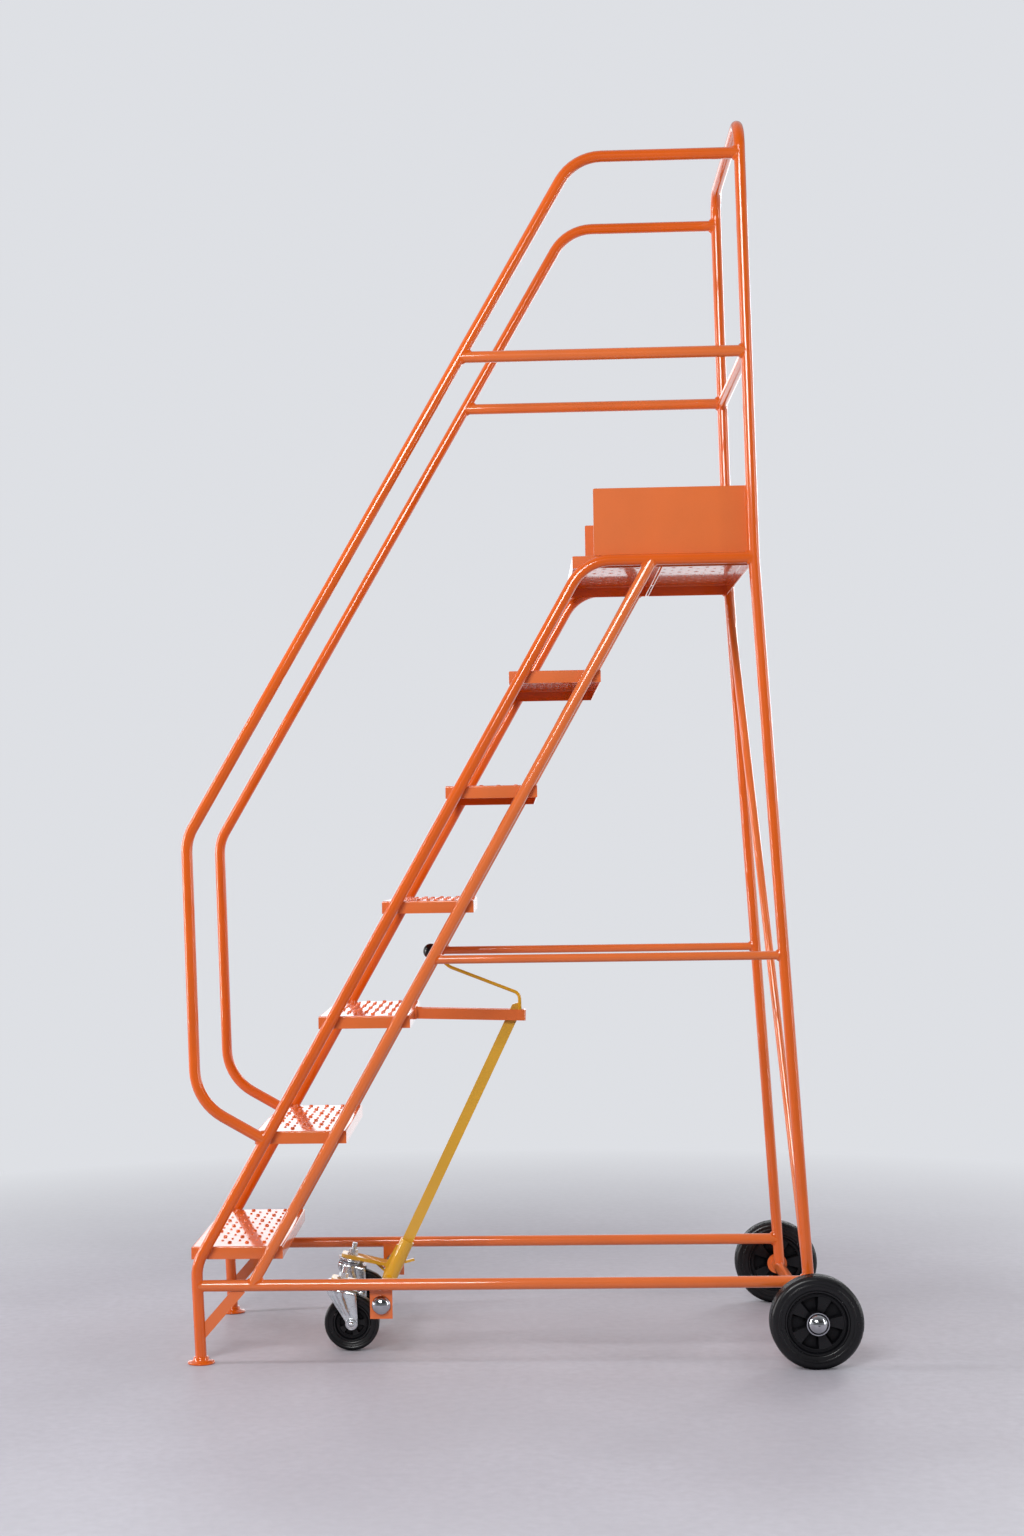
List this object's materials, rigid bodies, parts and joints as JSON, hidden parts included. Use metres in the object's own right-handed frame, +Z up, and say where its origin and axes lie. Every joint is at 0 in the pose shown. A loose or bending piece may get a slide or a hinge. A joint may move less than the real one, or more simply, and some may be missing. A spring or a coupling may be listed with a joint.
{
  "type": "rolling warehouse ladder",
  "caption": "Wheeled tube-frame warehouse ladder with perforated treads, handrails, a guarded platform, fixed rear wheels and a hand lever that lowers two front castors.",
  "frame": {"origin": "middle of the overall box on the floor, with the ladder standing on its foot pads and rear wheels", "axes": "+X from the climbing side to the rear wheels, +Y the climber's left, +Z up"},
  "size_m": [1.4754, 0.824, 2.758],
  "materials": {
    "frame_paint": "gloss orange powder coat",
    "lever_paint": "gloss yellow powder coat",
    "zinc_plate": "bright zinc plate",
    "bright_steel": "bright drawn bar",
    "chrome": "polished chrome",
    "tyre_rubber": "matt black rubber",
    "wheel_plastic": "satin black moulding",
    "knob_plastic": "gloss black moulding"
  },
  "bodies": {
    "frame": {"front_stringer_l": "frame_paint", "front_stringer_r": "frame_paint", "rear_stringer_l": "frame_paint", "rear_stringer_r": "frame_paint", "base_rail_l": "frame_paint", "base_rail_r": "frame_paint", "rear_hoop": "frame_paint", "handrail_l": "frame_paint", "handrail_r": "frame_paint", "guard_midrail_l": "frame_paint", "guard_midrail_r": "frame_paint", "back_midrail": "frame_paint", "side_tie_l": "frame_paint", "side_tie_r": "frame_paint", "back_brace": "frame_paint", "foot_braces": "frame_paint", "foot_pads": "frame_paint", "toe_board_l": "frame_paint", "toe_board_r": "frame_paint", "toe_board_rear": "frame_paint", "tread_1": "frame_paint", "tread_2": "frame_paint", "tread_3": "frame_paint", "tread_4": "frame_paint", "tread_5": "frame_paint", "tread_6": "frame_paint", "platform_front_panel": "frame_paint", "platform_rear_panel": "frame_paint", "pivot_plates": "frame_paint", "lever_guide": "frame_paint", "axle_tube": "frame_paint", "axle_collars": "frame_paint", "rear_axle_shaft": "bright_steel", "rear_axle_caps": "chrome", "pivot_shaft": "bright_steel", "pivot_caps": "chrome", "pivot_washers": "bright_steel"},
    "lever": {"pivot_sleeve": "lever_paint", "lever_bar": "lever_paint", "lever_socket": "lever_paint", "lever_gusset": "lever_paint", "handle_rod": "lever_paint", "handle_knob": "knob_plastic", "castor_arms": "lever_paint", "arm_braces": "lever_paint", "castor_heads": "zinc_plate", "castor_bolts": "zinc_plate", "castor_nuts": "zinc_plate"},
    "castor_fork_l": {"castor_fork_l": "zinc_plate", "castor_axle_l": "zinc_plate"},
    "castor_wheel_l": {"castor_tyre_l": "tyre_rubber", "castor_centre_l": "wheel_plastic"},
    "rear_wheel_l": {"rear_tyre_l": "tyre_rubber", "rear_centre_l": "wheel_plastic"},
    "castor_fork_r": {"castor_fork_r": "zinc_plate", "castor_axle_r": "zinc_plate"},
    "castor_wheel_r": {"castor_tyre_r": "tyre_rubber", "castor_centre_r": "wheel_plastic"},
    "rear_wheel_r": {"rear_tyre_r": "tyre_rubber", "rear_centre_r": "wheel_plastic"}
  },
  "joints": [
    {"name": "lever_swing", "type": "hinge", "parent": "frame", "child": "lever", "pos_m": [-0.30633, 0, 0.1225], "axis": [0, -1, 0], "range_deg": [0, 17.5]},
    {"name": "castor_swivel_l", "type": "hinge", "parent": "lever", "child": "castor_fork_l", "pos_m": [-0.40071, 0.157, 0.15418], "axis": [0.2164, 0, 0.9763], "continuous": true},
    {"name": "castor_spin_l", "type": "hinge", "parent": "castor_fork_l", "child": "castor_wheel_l", "pos_m": [-0.37932, 0.157, 0.06401], "axis": [0, 1, 0], "continuous": true},
    {"name": "rear_spin_l", "type": "hinge", "parent": "frame", "child": "rear_wheel_l", "pos_m": [0.63767, 0.365, 0.1], "axis": [0, 1, 0], "continuous": true},
    {"name": "castor_swivel_r", "type": "hinge", "parent": "lever", "child": "castor_fork_r", "pos_m": [-0.40071, -0.157, 0.15418], "axis": [0.2164, 0, 0.9763], "continuous": true},
    {"name": "castor_spin_r", "type": "hinge", "parent": "castor_fork_r", "child": "castor_wheel_r", "pos_m": [-0.37932, -0.157, 0.06401], "axis": [0, 1, 0], "continuous": true},
    {"name": "rear_spin_r", "type": "hinge", "parent": "frame", "child": "rear_wheel_r", "pos_m": [0.63767, -0.365, 0.1], "axis": [0, 1, 0], "continuous": true}
  ]
}
